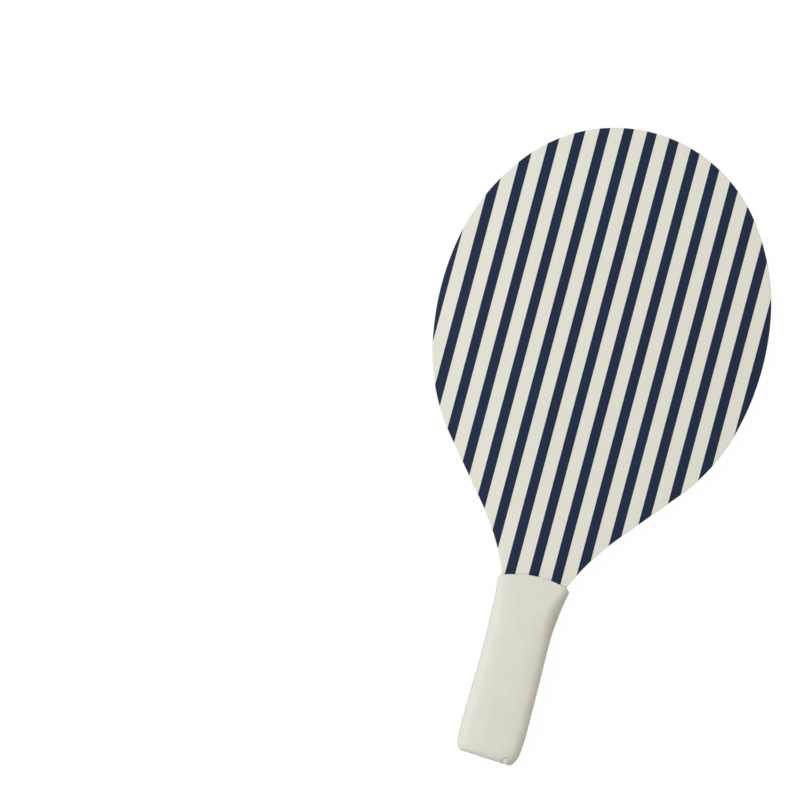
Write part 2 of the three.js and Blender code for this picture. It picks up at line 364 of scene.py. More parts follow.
class Graph:
    """Shader nodes of a material or world. An input takes a number, a colour or another node's output."""

    def __init__(self, owner, **finish):
        owner.use_nodes = True
        self.tree = owner.node_tree
        self.shader = self.tree.nodes.get("Principled BSDF")
        self.set(self.shader, finish)

    def set(self, node, inputs):
        for key, value in inputs.items():
            socket = node.inputs[key if isinstance(key, int) else key.replace("_", " ")]
            if isinstance(value, bpy.types.NodeSocket):
                self.tree.links.new(value, socket)
            else:
                socket.default_value = value

    def add(self, kind, inputs=None, output=0, **settings):
        """A new node's output, by number or name"""
        node = self.tree.nodes.new(kind)
        for key, value in settings.items():
            setattr(node, key, value)
        self.set(node, inputs or {})
        return node.outputs[output]

    def noise(self, place, size, detail=2, roughness=0.5):
        """Noise whose features have one size, or a size each way"""
        if isinstance(size, tuple):
            place, size = self.stretched(place, size), 1
        return self.add("ShaderNodeTexNoise", {
            "Vector": place, "Scale": 1 / size, "Detail": detail, "Roughness": roughness})

    def stretched(self, place, sizes):
        """Coordinates in which a feature of the given sizes is one unit each way"""
        return self.add("ShaderNodeMapping", {"Vector": place, "Scale": [1 / size for size in sizes]})

    def span(self, value, low, high, to_low, to_high):
        """A value's range brought to another range"""
        return self.add("ShaderNodeMapRange", {0: value, 1: low, 2: high, 3: to_low, 4: to_high})

    def vary(self, value, to_low, to_high, reach=0.2):
        """The middle of a noise's range, up to a reach either side of a half, brought to another range"""
        return self.span(value, 0.5 - reach, 0.5 + reach, to_low, to_high)

    def mix(self, share, first, second):
        """A colour between two others"""
        return self.add("ShaderNodeMix", {0: share, 6: first, 7: second}, output=2, data_type="RGBA")

    def mix_shaders(self, share, first, second):
        """A surface between two others"""
        return self.add("ShaderNodeMixShader", {0: share, 1: first, 2: second})

    def math(self, operation, *values):
        return self.add("ShaderNodeMath", dict(enumerate(values)), operation=operation)

    def tint(self, colour, share):
        """A colour made lighter or darker by a share that changes over the surface"""
        return self.add("ShaderNodeVectorMath", {0: colour, "Scale": share}, operation="SCALE")

    def place(self):
        return self.add("ShaderNodeTexCoord", output="Object")

    def attribute(self, name):
        return self.add("ShaderNodeAttribute", output="Fac", attribute_name=name)

    def bump(self, height, distance, strength=1.0, normal=None):
        inputs = {"Height": height, "Distance": distance, "Strength": strength}
        if normal is not None:
            inputs["Normal"] = normal
        return self.add("ShaderNodeBump", inputs)


CREAM = (0.741, 0.722, 0.625)
NAVY = (0.0045, 0.015, 0.045)
FACE_WOOD = (0.62, 0.45, 0.27)
CROSS_WOOD = (0.42, 0.265, 0.135)
NEOPRENE = (0.729, 0.697, 0.612)
CUT_NEOPRENE = (0.80, 0.81, 0.81)
THREAD = (0.66, 0.63, 0.55)
FOAM = (0.775, 0.753, 0.686)

PRINT_GRAIN = (0.9 * MM, 30 * MM, 0.9 * MM)
PRINT_GRAIN_RELIEF = 0.025 * MM
PRINT_CLOUD = (22 * MM, 60 * MM, 22 * MM)
PRINT_SPECK = 0.5 * MM
PRINT_SPECK_RELIEF = 0.01 * MM
PRINT_ROUGHNESS_SWING = (-0.05, 0.06)


def printed(name, colour, roughness, gloss, spread):
    """Satin print on veneer: the wood's grain shows through as fine lengthwise relief"""
    material = bpy.data.materials.new(name)
    graph = Graph(material, Specular_IOR_Level=gloss)
    place = graph.place()
    grain = graph.noise(place, PRINT_GRAIN, detail=3)
    cloud = graph.noise(place, PRINT_CLOUD)
    speck = graph.noise(place, PRINT_SPECK)
    share = graph.math("ADD", graph.vary(grain, 1 - spread, 1 + spread), graph.vary(cloud, -spread, spread))
    relief = graph.bump(grain, PRINT_GRAIN_RELIEF, strength=0.6)
    graph.set(graph.shader, {
        "Base Color": graph.tint(colour, share),
        "Roughness": graph.vary(speck, *(roughness + swing for swing in PRINT_ROUGHNESS_SWING)),
        "Normal": graph.bump(speck, PRINT_SPECK_RELIEF, strength=0.5, normal=relief)})
    return material


FACE_GRAIN = (0.35 * MM, 12 * MM, 0.35 * MM)
CROSS_GRAIN = (12 * MM, 0.35 * MM, 0.35 * MM)
FIBRE_SHADES = (0.72, 1.22)
FIBRE_RELIEF = 0.05 * MM
VENEER_PATCH = 9 * MM
PATCH_SPREAD = 0.06
VENEER_ROUGHNESS = (0.5, 0.68)
END_GRAIN_FROM = 0.3
END_GRAIN_SHADE = 0.72


def veneer(name, colour, grain_sizes, end_axis):
    """Bare veneer at the blade's rim, darker where it is cut across its grain, which runs along end_axis"""
    material = bpy.data.materials.new(name)
    graph = Graph(material, Specular_IOR_Level=0.3)
    place = graph.place()
    fibre = graph.noise(place, grain_sizes, detail=4, roughness=0.6)
    patch = graph.noise(place, VENEER_PATCH)
    facing = graph.add("ShaderNodeSeparateXYZ", {
        "Vector": graph.add("ShaderNodeTexCoord", output="Normal")}, output=end_axis)
    ends = graph.span(graph.math("ABSOLUTE", facing), END_GRAIN_FROM, 1, 1, END_GRAIN_SHADE)
    fibres = graph.vary(fibre, *FIBRE_SHADES, reach=0.25)
    patches = graph.vary(patch, -PATCH_SPREAD, PATCH_SPREAD)
    share = graph.math("MULTIPLY", ends, graph.math("ADD", fibres, patches))
    graph.set(graph.shader, {
        "Base Color": graph.tint(colour, share),
        "Roughness": graph.vary(fibre, *VENEER_ROUGHNESS),
        "Normal": graph.bump(fibre, FIBRE_RELIEF, strength=0.7)})
    return material


WALE_PITCH = 0.55 * MM
WALE_SHARE = 0.6
COURSE_PITCH = 0.42 * MM
COURSE_STAGGER = 0.9
LOOP_RANGE = (-0.6, 1.6)
LOOP_SPREAD = 0.03
LOOP_RELIEF = 0.06 * MM
FUZZ_SIZE = 0.35 * MM
FUZZ_RELIEF = 0.05 * MM
CLOUD_SIZES = (9 * MM, 16 * MM, 9 * MM)
CLOUD_SPREAD = 0.015
BLUSH_SIZES = (7 * MM, 12 * MM, 7 * MM)
BLUSH = 0.007


def knit(name, colour):
    """Neoprene faced with fine jersey, whose wales run along the handle"""
    material = bpy.data.materials.new(name)
    graph = Graph(material, Roughness=0.88, Specular_IOR_Level=0.2, Sheen_Weight=0.05, Sheen_Roughness=0.5)
    place = graph.place()
    around, along = graph.attribute("around"), graph.attribute("along")
    wale = graph.math("SINE", graph.math("MULTIPLY", around, 2 * math.pi / WALE_PITCH))
    climb = graph.math("MULTIPLY", along, 2 * math.pi / COURSE_PITCH)
    course = graph.math("SINE", graph.math("ADD", climb, graph.math("MULTIPLY", wale, COURSE_STAGGER)))
    loops = graph.math("MULTIPLY_ADD", wale, WALE_SHARE, graph.math("MULTIPLY", course, 1 - WALE_SHARE))
    fuzz = graph.noise(place, FUZZ_SIZE, detail=3)
    cloud = graph.noise(place, CLOUD_SIZES, detail=3)
    blush = graph.noise(place, BLUSH_SIZES, detail=1)
    share = graph.math("ADD", graph.vary(cloud, 1 - CLOUD_SPREAD, 1 + CLOUD_SPREAD), graph.span(
        graph.math("ADD", loops, fuzz), *LOOP_RANGE, -LOOP_SPREAD, LOOP_SPREAD))
    # Painted shade: darkens the knit's colour by the mask that build_sleeve gives the mesh
    share = graph.math("MULTIPLY_ADD", graph.attribute("painted_shade"), -PAINTED_SHADE_DEPTH, share)
    rosy, greenish = ([part * (1 + turn * BLUSH) for part, turn in zip(colour, turns)] + [1]
                      for turns in ((1, -1, 0), (-1, 1, 0)))
    blushed = graph.mix(graph.vary(blush, 0, 1, reach=0.15), rosy, greenish)
    faced = graph.mix(graph.attribute("cut"), graph.tint(blushed, share), (*CUT_NEOPRENE, 1))
    relief = graph.bump(loops, LOOP_RELIEF, strength=0.5)
    graph.set(graph.shader, {
        "Base Color": faced,
        "Normal": graph.bump(fuzz, FUZZ_RELIEF, strength=0.5, normal=relief)})
    return material


THREAD_PLY = 0.6 * MM
THREAD_SHADES = (0.9, 1.04)
THREAD_RELIEF = 0.05 * MM


def twisted(name, colour):
    """Sewing thread"""
    material = bpy.data.materials.new(name)
    graph = Graph(material, Specular_IOR_Level=0.3, Roughness=0.7, Sheen_Weight=0.2)
    ply = graph.add("ShaderNodeTexWave", {
        "Vector": graph.place(), "Scale": 1 / THREAD_PLY, "Distortion": 1.0}, output="Fac",
        bands_direction="DIAGONAL")
    graph.set(graph.shader, {
        "Base Color": graph.tint(colour, graph.span(ply, 0, 1, *THREAD_SHADES)),
        "Normal": graph.bump(ply, THREAD_RELIEF, strength=0.6)})
    return material


FOAM_CELL = 0.8 * MM
FOAM_CELL_RIM = 0.6
FOAM_SHADES = (0.86, 1.02)
FOAM_RELIEF = 0.15 * MM


def foam(name, colour):
    """Cut foam with open cells"""
    material = bpy.data.materials.new(name)
    graph = Graph(material, Specular_IOR_Level=0.2, Roughness=0.95)
    cells = graph.add("ShaderNodeTexVoronoi", {"Vector": graph.place(), "Scale": 1 / FOAM_CELL})
    graph.set(graph.shader, {
        "Base Color": graph.tint(colour, graph.span(cells, 0, FOAM_CELL_RIM, *FOAM_SHADES)),
        "Normal": graph.bump(cells, FOAM_RELIEF, strength=0.7)})
    return material


materials = {
    "face_veneer": veneer("face_veneer_wood", FACE_WOOD, FACE_GRAIN, end_axis=1),
    "cross_veneer": veneer("cross_veneer_wood", CROSS_WOOD, CROSS_GRAIN, end_axis=0),
    "cream_print": printed("cream_lacquer", CREAM, roughness=0.42, gloss=0.35, spread=0.008),
    "navy_ink": printed("navy_print", NAVY, roughness=0.4, gloss=0.2, spread=0.05),
    "neoprene": knit("neoprene_knit", NEOPRENE),
    "thread": twisted("seam_yarn", THREAD),
    "grip_foam": foam("pad_foam", FOAM),
}


# Blade

middle = (cad_box[0].z + cad_box[1].z) / 2
wood_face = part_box("front_face_ply")[1].z - middle
print_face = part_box("front_print_base")[1].z - middle
ink_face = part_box("front_stripe_08")[1].z - middle
wood_lift = wood_face - print_face
ink_lift = ink_face - print_face
blade_outline = counter_clockwise(refined(upper_outline("front_face_ply"), OUTLINE_SPLITS))


def rim_distance(points):
    """Distance of each point from the blade's outline"""
    along = np.roll(blade_outline, -1, axis=0) - blade_outline
    offset = points[:, None, :] - blade_outline[None]
    share = np.clip((offset * along).sum(axis=2) / (along ** 2).sum(axis=1), 0, 1)
    return np.linalg.norm(offset - share[..., None] * along, axis=2).min(axis=1)


def curled(lift):
    """Heights of a skin that curls down over the blade's rim, by how far inward from the rim a point is.
    The lift is the skin's height above the cream print."""
    def height(inward):
        across = np.clip(RIM_ROUND - inward, 0, None)
        rise = np.sqrt(np.clip((RIM_ROUND + lift) ** 2 - across ** 2, 0, None))
        foot = RIM_FOOT_SLOPE * np.clip(across - RIM_ROUND - lift, 0, None)
        return print_face - RIM_ROUND + rise - foot
    return height


def level(place):
    """Heights of a flat face"""
    return lambda inward: np.full(len(inward), place)


def blade_layer(name, side, top, bottom, slot, replaced, left=-math.inf, right=math.inf):
    """A layer of the whole blade, or of its part between two lines along it"""
    corners, edges = [], []
    for step in range(RIM_STEPS + 1):
        inward = RIM_ROUND * (1 - math.cos(math.pi / 2 * step / RIM_STEPS))
        polygon = cut_band(inset_outline(blade_outline, inward), left, right)
        first, count = len(corners), len(polygon)
        corners += [Vector(point / MM) for point in polygon]
        edges += [(first + i, first + (i + 1) % count) for i in range(count)]
        if step == 0:
            rim = list(range(count))
    flat, _, faces, _, _, _ = delaunay_2d_cdt(corners, edges, [rim], INSIDE_ONLY, FLAT_TOLERANCE)
    used = sorted({index for face in faces for index in face})
    renumbered = {old: new for new, old in enumerate(used)}
    flat = np.array([tuple(flat[index]) for index in used]) * MM
    faces = [tuple(renumbered[index] for index in face) for face in faces]
    inward = rim_distance(flat)
    heights = np.concatenate([top(inward), bottom(inward)])
    points = np.column_stack([np.tile(flat, (2, 1)), middle + side * heights])
    count = len(flat)
    sides = {pair for face in faces for pair in zip(face, face[1:] + face[:1])}
    walls = [(b, a, a + count, b + count) for a, b in sorted(sides) if (b, a) not in sides]
    shell = faces + [tuple(index + count for index in reversed(face)) for face in faces] + walls
    if side < 0:
        shell = [tuple(reversed(face)) for face in shell]
    return new_piece(name, points, shell, slot, replaced)


def build_blade():
    """The blade: three CAD plies with better materials, and on each face a veneer, a base and its bands"""
    for node, slot in (("back_cross_ply", "cross_veneer"), ("core_ply", "face_veneer"),
                       ("front_cross_ply", "cross_veneer")):
        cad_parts[node].material_slots[0].material = materials[slot]
    ply_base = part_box("front_face_ply")[0].z - middle
    for face, side in FACES.items():
        blade_layer(f"{face}_veneer", side, curled(wood_lift), level(ply_base), "face_veneer",
                    [f"{face}_face_ply"])
        blade_layer(f"{face}_lacquer", side, curled(0), curled(wood_lift), "cream_print",
                    [f"{face}_print_base"])
        for node in sorted(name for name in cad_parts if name.startswith(f"{face}_stripe_")):
            low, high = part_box(node)
            blade_layer(node.replace("stripe", "band"), side, curled(ink_lift), curled(0), "navy_ink",
                        [node], low.x, high.x)


def blade_half(y):
    """Half the blade's width at a height along it"""
    right = blade_outline[blade_outline[:, 0] > 0]
    right = right[np.argsort(right[:, 1])]
    return np.interp(y, right[:, 1], right[:, 0])


# Sleeve

class SleeveForm:
    """The sleeve's sizes, read off its CAD solid: its half sizes along the handle, its mouth and butt"""

    def __init__(self):
        edges = node_edges("grip_sleeve")
        low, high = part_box("grip_sleeve")
        self.half_depth = high.z - middle
        across = np.arange(low.x + EDGE_GAP, high.x - EDGE_GAP, MOUTH_STEP)
        mouth = np.array([crossings(edges, 0, x)[:, 1].max() for x in across])
        self.mouth_samples = across, mouth
        left, right = (crossings(edges, 0, x)[:, 1].min() for x in (-EDGE_ROUND, EDGE_ROUND))
        self.butt_line = (left + right) / 2, (right - left) / (2 * EDGE_ROUND)
        self.body_end = low.y + BUTT_UPWARD["seam"]
        corner = min(mouth[0], mouth[-1])
        start = self.body_end + END_SAMPLES * SAMPLE_STEP
        self.along = np.arange(start, high.y - SAMPLE_STEP, SAMPLE_STEP)
        slices = [crossings(edges, 1, y) for y in self.along]
        whole = self.along < corner - SAMPLE_STEP
        self.whole = self.along[whole]
        slim = WAIST_SLIM * np.exp(-((self.whole - WAIST_Y) / WAIST_REACH) ** WAIST_POWER)
        self.fold = smoothed(np.array([-cut[:, 0].min() for cut in slices])[whole], SAMPLE_STEP) - slim
        self.seam = smoothed(np.array([cut[:, 0].max() for cut in slices])[whole], SAMPLE_STEP) - slim
        self.depth = smoothed(np.array([cut[:, 2].max() - middle for cut in slices]), SAMPLE_STEP)

    def mouth(self, x):
        """Height of the mouth's edge at a place across"""
        return np.interp(x, *self.mouth_samples)

    def butt(self, x):
        """Height of the butt's slanting end at a place across"""
        return self.butt_line[0] + self.butt_line[1] * x

    @staticmethod
    def run_on(y, along, values):
        """Samples read at heights, run on in a straight line past both ends"""
        run = END_SAMPLES * SAMPLE_STEP
        low = (values[END_SAMPLES] - values[0]) / run * np.clip(y - along[0], None, 0)
        high = (values[-1] - values[-1 - END_SAMPLES]) / run * np.clip(y - along[-1], 0, None)
        return np.interp(y, along, values) + low + high

    def halves(self, y):
        """Half sizes of the outer skin at heights: fold side, seam side and depth"""
        y = np.maximum(y, self.body_end)
        return (self.run_on(y, self.whole, self.fold), self.run_on(y, self.whole, self.seam),
                self.run_on(y, self.along, self.depth))

    def inner_halves(self, y):
        """Half sizes of the lining, which lies along the blade's rim and over the pads"""
        blade = blade_half(y) + CLEARANCE
        return blade, blade, np.maximum(self.halves(y)[2] - WALL, ink_face + CLEARANCE)


form = SleeveForm()


def gathered(share):
    """Even shares of a way, drawn closer together near both its ends"""
    return share - GATHERING * math.sin(2 * math.pi * share) / (2 * math.pi)


def ring_marks():
    """For each point of a ring, which starts at the seam and goes over the front: how far it is across
    towards the fold, which face it is on, how far it is up the side wall, and its angle on the edge"""
    upper = [(0, step / SIDE_POINTS, 0) for step in range(SIDE_POINTS)]
    upper += [(0, 1, step / ARC_POINTS) for step in range(ARC_POINTS)]
    upper += [(gathered(step / TOP_POINTS), 1, 1) for step in range(TOP_POINTS + 1)]
    upper += [(1, 1, 1 - step / ARC_POINTS) for step in range(1, ARC_POINTS + 1)]
    upper += [(1, 1 - step / SIDE_POINTS, 0) for step in range(1, SIDE_POINTS + 1)]
    rows = [(across, 1, up, quarter) for across, up, quarter in upper]
    rows += [(across, -1, up, quarter) for across, up, quarter in upper[-2:0:-1]]
    across, face, up, quarter = np.array(rows, float).T
    return across, face, up, quarter * math.pi / 2


across_mark, face_mark, up_mark, edge_angle = ring_marks()
RING = len(across_mark)


def section(halves, rounds, taken=0, pointed=0):
    """Places across and heights of a ring, whose edges are rounded by one radius across and another in
    depth, and come to a point in part. Taken is what the butt's rounding takes off each point."""
    fold, seam, depth = halves
    reach = (rounds[0] - taken) * np.cos(edge_angle) - rounds[0]
    x = (1 - across_mark) * (seam + reach) - across_mark * (fold + reach)
    rise = np.sin(edge_angle) ** (1 + pointed)
    height = face_mark * (up_mark * (depth - rounds[1]) + (rounds[1] - taken) * rise)
    return x, height


def outer_section(y, taken=0):
    """A ring of the outer skin, flared and rolled on the seam's side of the mouth, and crowned"""
    fold, seam, depth = form.halves(y)
    seam = seam + FLARE * bell(form.mouth(0) - FLARE_BELOW_CREST - y, FLARE_REACH)
    roll = (1 - across_mark) * bell(form.mouth(0) - ROLL_BELOW_CREST - y, ROLL_REACH)
    even = EDGE_ROUND * depth / form.half_depth
    across = even * (1 + ROLL_ACROSS_SHARE * roll)
    deep = np.minimum(even * (1 + ROLL_DEPTH_SHARE * roll), ROUNDING_LIMIT_SHARE * depth)
    x, height = section((fold, seam, depth), (across, deep), taken, ROLL_POINTED * roll)
    crown = CROWN_SHARE * ((depth - ink_face) / (form.half_depth - ink_face)) ** 2
    return x, height * (1 - crown * np.abs(x / np.where(x > 0, seam, fold)) ** CROWN_POWER)


def inner_section(y, taken=0):
    """A ring of the lining"""
    halves = form.inner_halves(y)
    round_size = np.clip(halves[2] - ink_face - CLEARANCE, *INNER_ROUND)
    return section(halves, (round_size, round_size), taken)


def round_butt(sizes):
    """A size of the butt's rounding for each point of a ring"""
    side = sizes["seam"] + (sizes["fold"] - sizes["seam"]) * across_mark
    return sizes["face"] + (side - sizes["face"]) * np.cos(edge_angle) ** 2


def swept_ring(share, cut, head, foot):
    """A ring on the way from the mouth to the butt. Head and foot are how far the way stops short. The
    heights and the places across hang on each other, and settle in a few rounds."""
    y = np.full(RING, form.mouth(0))
    for _ in range(SETTLING_ROUNDS):
        x, height = cut(y)
        y = (1 - share) * (form.mouth(x) - head) + share * (form.butt(x) + foot)
    return np.column_stack([x, y, middle + height])


def outer_lip_round():
    """Size of the lip's outer rounding for each point of a ring, larger on the seam's side"""
    side = (1 - across_mark) * np.cos(edge_angle) ** 2
    return LIP_ROUND + (LIP_CORNER_ROUND - LIP_ROUND) * side


def outer_rings():
    """Rings of the outer skin, from below the lip to where the butt begins to turn in"""
    count = round((form.mouth(0) - form.butt(0)) / RING_STEP)
    return [swept_ring(gathered(i / count), outer_section, outer_lip_round(), round_butt(BUTT_UPWARD))
            for i in range(count + 1)]


def cap_rings(rim):
    """Rings that close a flat end on the line across its middle"""
    half = np.abs(rim[:, 2] - middle).max()
    left, right = rim[:, 0].min() + half, rim[:, 0].max() - half
    target = np.clip(rim[:, 0], left, right)
    rings = []
    for step in range(1, CAP_STEPS + 1):
        share = 1 - step / CAP_STEPS
        x = target + (rim[:, 0] - target) * share
        y = rim[:, 1] + (form.butt(x) - form.butt(rim[:, 0]))
        rings.append(np.column_stack([x, y, middle + (rim[:, 2] - middle) * share]))
    return rings


def butt_rings():
    """Rings of the butt: the turn in, then rings that close on a line across its middle"""
    inward, upward = round_butt(BUTT_INWARD), round_butt(BUTT_UPWARD)
    rings = []
    for step in range(1, BUTT_STEPS + 1):
        angle = math.pi / 2 * step / BUTT_STEPS
        x, height = outer_section(np.full(RING, form.body_end), inward * (1 - math.cos(angle)))
        y = form.butt(x) + upward * (1 - math.sin(angle))
        rings.append(np.column_stack([x, y, middle + height]))
    return rings + cap_rings(rings[-1])


def inner_rings():
    """Rings of the lining, from below the lip to the closed end"""
    count = round((form.mouth(0) - form.butt(0)) / INNER_STEP)
    rings = [swept_ring(i / count, inner_section, LIP_ROUND, WALL) for i in range(count + 1)]
    return rings + cap_rings(rings[-1])


def lip_rings(inner, outer):
    """Rounded edge of the mouth, from the lining's first ring to the skin's"""
    way = outer - inner
    way[:, 1] += outer_lip_round() - LIP_ROUND
    wall = np.linalg.norm(way, axis=1)
    halves = []
    for start, side, rise in ((inner, 1, np.full(RING, LIP_ROUND)), (outer, -1, outer_lip_round())):
        share = (np.minimum(rise, wall / 2) / wall)[:, None]
        half = []
        for step in range(1, LIP_STEPS + 1):
            angle = math.pi / 2 * step / LIP_STEPS
            ring = start + side * way * share * (1 - math.cos(angle))
            ring[:, 1] += rise * math.sin(angle)
            half.append(ring)
        halves.append(half)
    return halves[0] + halves[1][::-1]


def noise_field(points, sizes, shift):
    """Smooth noise whose features have the given sizes"""
    scaled = points / np.array(sizes) + shift
    values = [noise.noise(Vector(point)) for point in scaled.reshape(-1, 3)]
    return np.array(values).reshape(points.shape[:-1])


def seam_share(x):
    """1 where the seam runs, down to 0 at the fold, where the butt's seam ends"""
    near, far = (place - form.halves(form.body_end)[0] for place in SEAM_STOP)
    share = np.clip((x - near) / (far - near), 0, 1)
    return share ** 2 * (3 - 2 * share)


def seam_relief(distance, travel):
    """Height of the skin beside the seam: a groove between shoulders that the stitches pinch"""
    pinch = 1 + STITCH_PINCH_SHARE * np.cos(2 * math.pi * travel / STITCH_PITCH)
    return (SHOULDER_HEIGHT * pinch * bell(distance - SHOULDER_PLACE, SHOULDER_WIDTH)
            - GROOVE_DEPTH * bell(distance, GROOVE_WIDTH))


def knob_relief(points):
    """The knob near the corner of the butt, in a ditch that is deepest on the side away from that corner,
    and the tuck that runs up from it to the seam"""
    knob = np.array([KNOB_ACROSS, form.butt(KNOB_ACROSS) + KNOB_ABOVE_BUTT])
    offset = points[..., :2] - knob
    away = np.linalg.norm(offset / KNOB_HALVES, axis=-1)
    inland = (offset[..., 1] - offset[..., 0]) / np.maximum(away, TINY) / KNOB_HALVES[0]
    facing = np.clip(DITCH_EVEN_SHARE + DITCH_LEAN_SHARE * inland, 0, 1)
    dome = KNOB_HEIGHT * np.sqrt(np.clip(1 - away ** 2, 0, 1))
    ditch = DITCH_DEPTH * facing * bell(away - DITCH_RADIUS_SHARE, DITCH_WIDTH_SHARE)
    tuck = np.array(TUCK_END)
    share = np.clip(offset @ tuck / (tuck @ tuck), 0, 1)
    beside = np.linalg.norm(offset - share[..., None] * tuck, axis=-1)
    fading = np.clip(1 - share, 0, 1) * (away > 1)
    return dome - ditch - TUCK_DEPTH * fading * bell(beside, TUCK_WIDTH)


def pinch_relief(points):
    """The corner of the butt beside the knob, drawn in by the end of the seam"""
    pinch = np.array([PINCH_ACROSS, form.butt(PINCH_ACROSS) + PINCH_ABOVE_BUTT])
    return -PINCH_DEPTH * bell(np.linalg.norm(points[..., :2] - pinch, axis=-1), PINCH_REACH)


def crease_relief(points):
    """Small creases across the sleeve where the mouth's edge turns round the seam's corner"""
    corner = np.array([form.mouth_samples[0][-1], form.mouth_samples[1][-1]])
    near = bell(np.linalg.norm(points[..., :2] - corner, axis=-1), CREASE_REACH)
    return CREASE_HEIGHT * near * noise_field(points, CREASE_SIZES, CREASE_SHIFT)


def dressed(rings):
    """The outer skin with its seam, wrinkles and knob"""
    points = np.array(rings)
    around = np.roll(points, -1, axis=1) - np.roll(points, 1, axis=1)
    along = np.gradient(points, axis=0)
    normal = np.cross(around, along)
    normal /= np.maximum(np.linalg.norm(normal, axis=2), TINY)[..., None]
    height = points[..., 2] - middle
    relief = seam_share(points[..., 0]) * seam_relief(np.abs(height), points[..., 1] - points[..., 0])
    relief += WRINKLE_HEIGHT * noise_field(points, WRINKLE_SIZES, WRINKLE_SHIFT)
    relief += DIMPLE_HEIGHT * noise_field(points, DIMPLE_SIZES, DIMPLE_SHIFT)
    relief += np.where(height > 0, knob_relief(points), 0)
    relief += pinch_relief(points) + crease_relief(points)
    return points + normal * relief[..., None]


def build_sleeve():
    """The sleeve: lining, lip and outer skin in one closed mesh, whose dressed skin it gives back"""
    outer = outer_rings()
    skin = dressed(outer + butt_rings())
    lining = inner_rings()
    lip = lip_rings(lining[0], skin[0])
    chain = np.concatenate([np.array(lining[::-1]), np.array(lip), skin])
    typical = skin[len(outer) // 2]
    around = np.concatenate([[0], np.cumsum(np.linalg.norm(np.diff(typical, axis=0), axis=1))])
    cut = np.zeros((len(chain), RING))
    cut[len(lining):len(lining) + round(len(lip) * LIP_CUT_SHARE)] = 1
    # Painted shade mask: darker along the seam's side below the mouth and round the butt's corner by the
    # knob, where shade falls
    from_seam = np.minimum(around, around[-1] - around)
    painted_shade = (bell(from_seam - PAINTED_SHADE_FROM_SEAM, PAINTED_SHADE_REACH[0])
           * bell(chain[..., 1] - form.mouth(0) + PAINTED_SHADE_BELOW_CREST, PAINTED_SHADE_REACH[1]))
    corner = np.array([PAINTED_SHADE_CORNER[0], form.butt(PAINTED_SHADE_CORNER[0]) + PAINTED_SHADE_CORNER[1]])
    painted_shade += PAINTED_SHADE_CORNER_SHARE * bell(np.linalg.norm(chain[..., :2] - corner, axis=-1), PAINTED_SHADE_CORNER_REACH)
    attributes = {"around": np.tile(around, len(chain)), "along": chain[..., 1].ravel(),
                  "cut": cut.ravel(), "painted_shade": painted_shade.ravel()}
    faces = ring_faces(len(chain), RING)
    sleeve = new_piece("neoprene_sleeve", chain.reshape(-1, 3), faces, "neoprene", ["grip_sleeve"],
                       attributes, weld=True)
    return skin


# Stitches

def seam_path(skin):
    """The seam's line on the dressed skin, from the mouth to the fold's corner, and the way along it"""
    side, cap = skin[:-CAP_STEPS, 0], skin[-1][face_mark > 0]
    corner = skin[::-1][:CAP_STEPS + 1, RING // 2]
    line = np.concatenate([side, cap[np.argsort(-cap[:, 0])], corner])
    step = np.linalg.norm(np.diff(line, axis=0), axis=1)
    line = line[np.concatenate([[True], step > WELD])]
    step = np.linalg.norm(np.diff(line, axis=0), axis=1)
    return line, np.concatenate([[0], np.cumsum(step)])


def swept_tube(path, radius, sides):
    """Rings of a round tube along a path, each square to it"""
    tangents = unit(np.gradient(path, axis=0))
    side = np.cross(tangents[0], (0, 0, 1.0))
    turns = 2 * math.pi * np.arange(sides)[:, None] / sides
    rings = []
    for point, tangent in zip(path, tangents):
        side = unit(side - tangent * np.dot(side, tangent))
        other = np.cross(tangent, side)
        rings.append(point + radius * (np.cos(turns) * side + np.sin(turns) * other))
    return np.array(rings)


def build_stitches(skin):
    """Zigzag stitches that pull the two edges of the seam together"""
    line, travel = seam_path(skin)
    count = int((travel[-1] - STITCH_PITCH - STITCH_START) / (STITCH_PITCH / 2))
    steps = np.arange(count * YARN_STEPS + 1)
    at = STITCH_START + steps * STITCH_PITCH / 2 / YARN_STEPS
    bottom = np.column_stack([np.interp(at, travel, line[:, axis]) for axis in range(3)])
    tangent = unit(np.gradient(bottom, axis=0))
    outward = np.column_stack([-tangent[:, 1], tangent[:, 0], np.zeros(len(tangent))])
    phase = np.pi * steps / YARN_STEPS
    rise = (GROOVE_DEPTH * seam_share(bottom[:, 0]) + STITCH_RISE
            - (STITCH_RISE + STITCH_DIP) * np.cos(phase) ** STITCH_TURN_POWER)
    path = bottom + outward * rise[:, None]
    path[:, 2] += STITCH_HALF * np.cos(phase)
    rings = swept_tube(path, YARN_RADIUS, YARN_SIDES)
    new_piece("seam_stitches", rings.reshape(-1, 3), ring_faces(len(rings), YARN_SIDES, True), "thread",
              ["seam_thread"])


# Foam pads

def pad_ring(y, side, half, thickness, end):
    """Section of a pad at a height: flat on the blade, with rounded edges, narrowed at the butt end"""
    past = np.clip((end + PAD_CORNER - y) / PAD_CORNER, 0, 1)
    reach = half - PAD_CORNER * (1 - math.sqrt(1 - past ** 2))
    room = form.inner_halves(np.array([y]))[2][0] - CLEARANCE - ink_face
    thick = min(thickness, room)
    edge = min(PAD_EDGE, thick * ROUNDING_LIMIT_SHARE)
    angles = np.linspace(0, math.pi / 2, PAD_POINTS)
    right = np.column_stack([reach - edge + edge * np.cos(angles),
                             ink_face + thick - edge + edge * np.sin(angles)])
    ring = np.concatenate([[(-reach, ink_face), (reach, ink_face)], right, (right * (-1, 1))[::-1]])
    return [(x * side, y, middle + side * height) for x, height in ring]


def build_pad(name, side, node):
    """Foam pad between the blade and the sleeve, thinned out towards the mouth as the sleeve narrows"""
    low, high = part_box(node)
    turn = 1 - np.sin(np.linspace(0, math.pi / 2, PAD_POINTS))
    places = np.concatenate([np.arange(high.y, low.y + PAD_CORNER, -PAD_STEP), low.y + PAD_CORNER * turn])
    rings = np.array([pad_ring(y, side, high.x, high.z - low.z, low.y) for y in places])
    pad = new_piece(name, rings.reshape(-1, 3), ring_faces(len(rings), rings.shape[1], True),
                    "grip_foam", [node])


# Stage

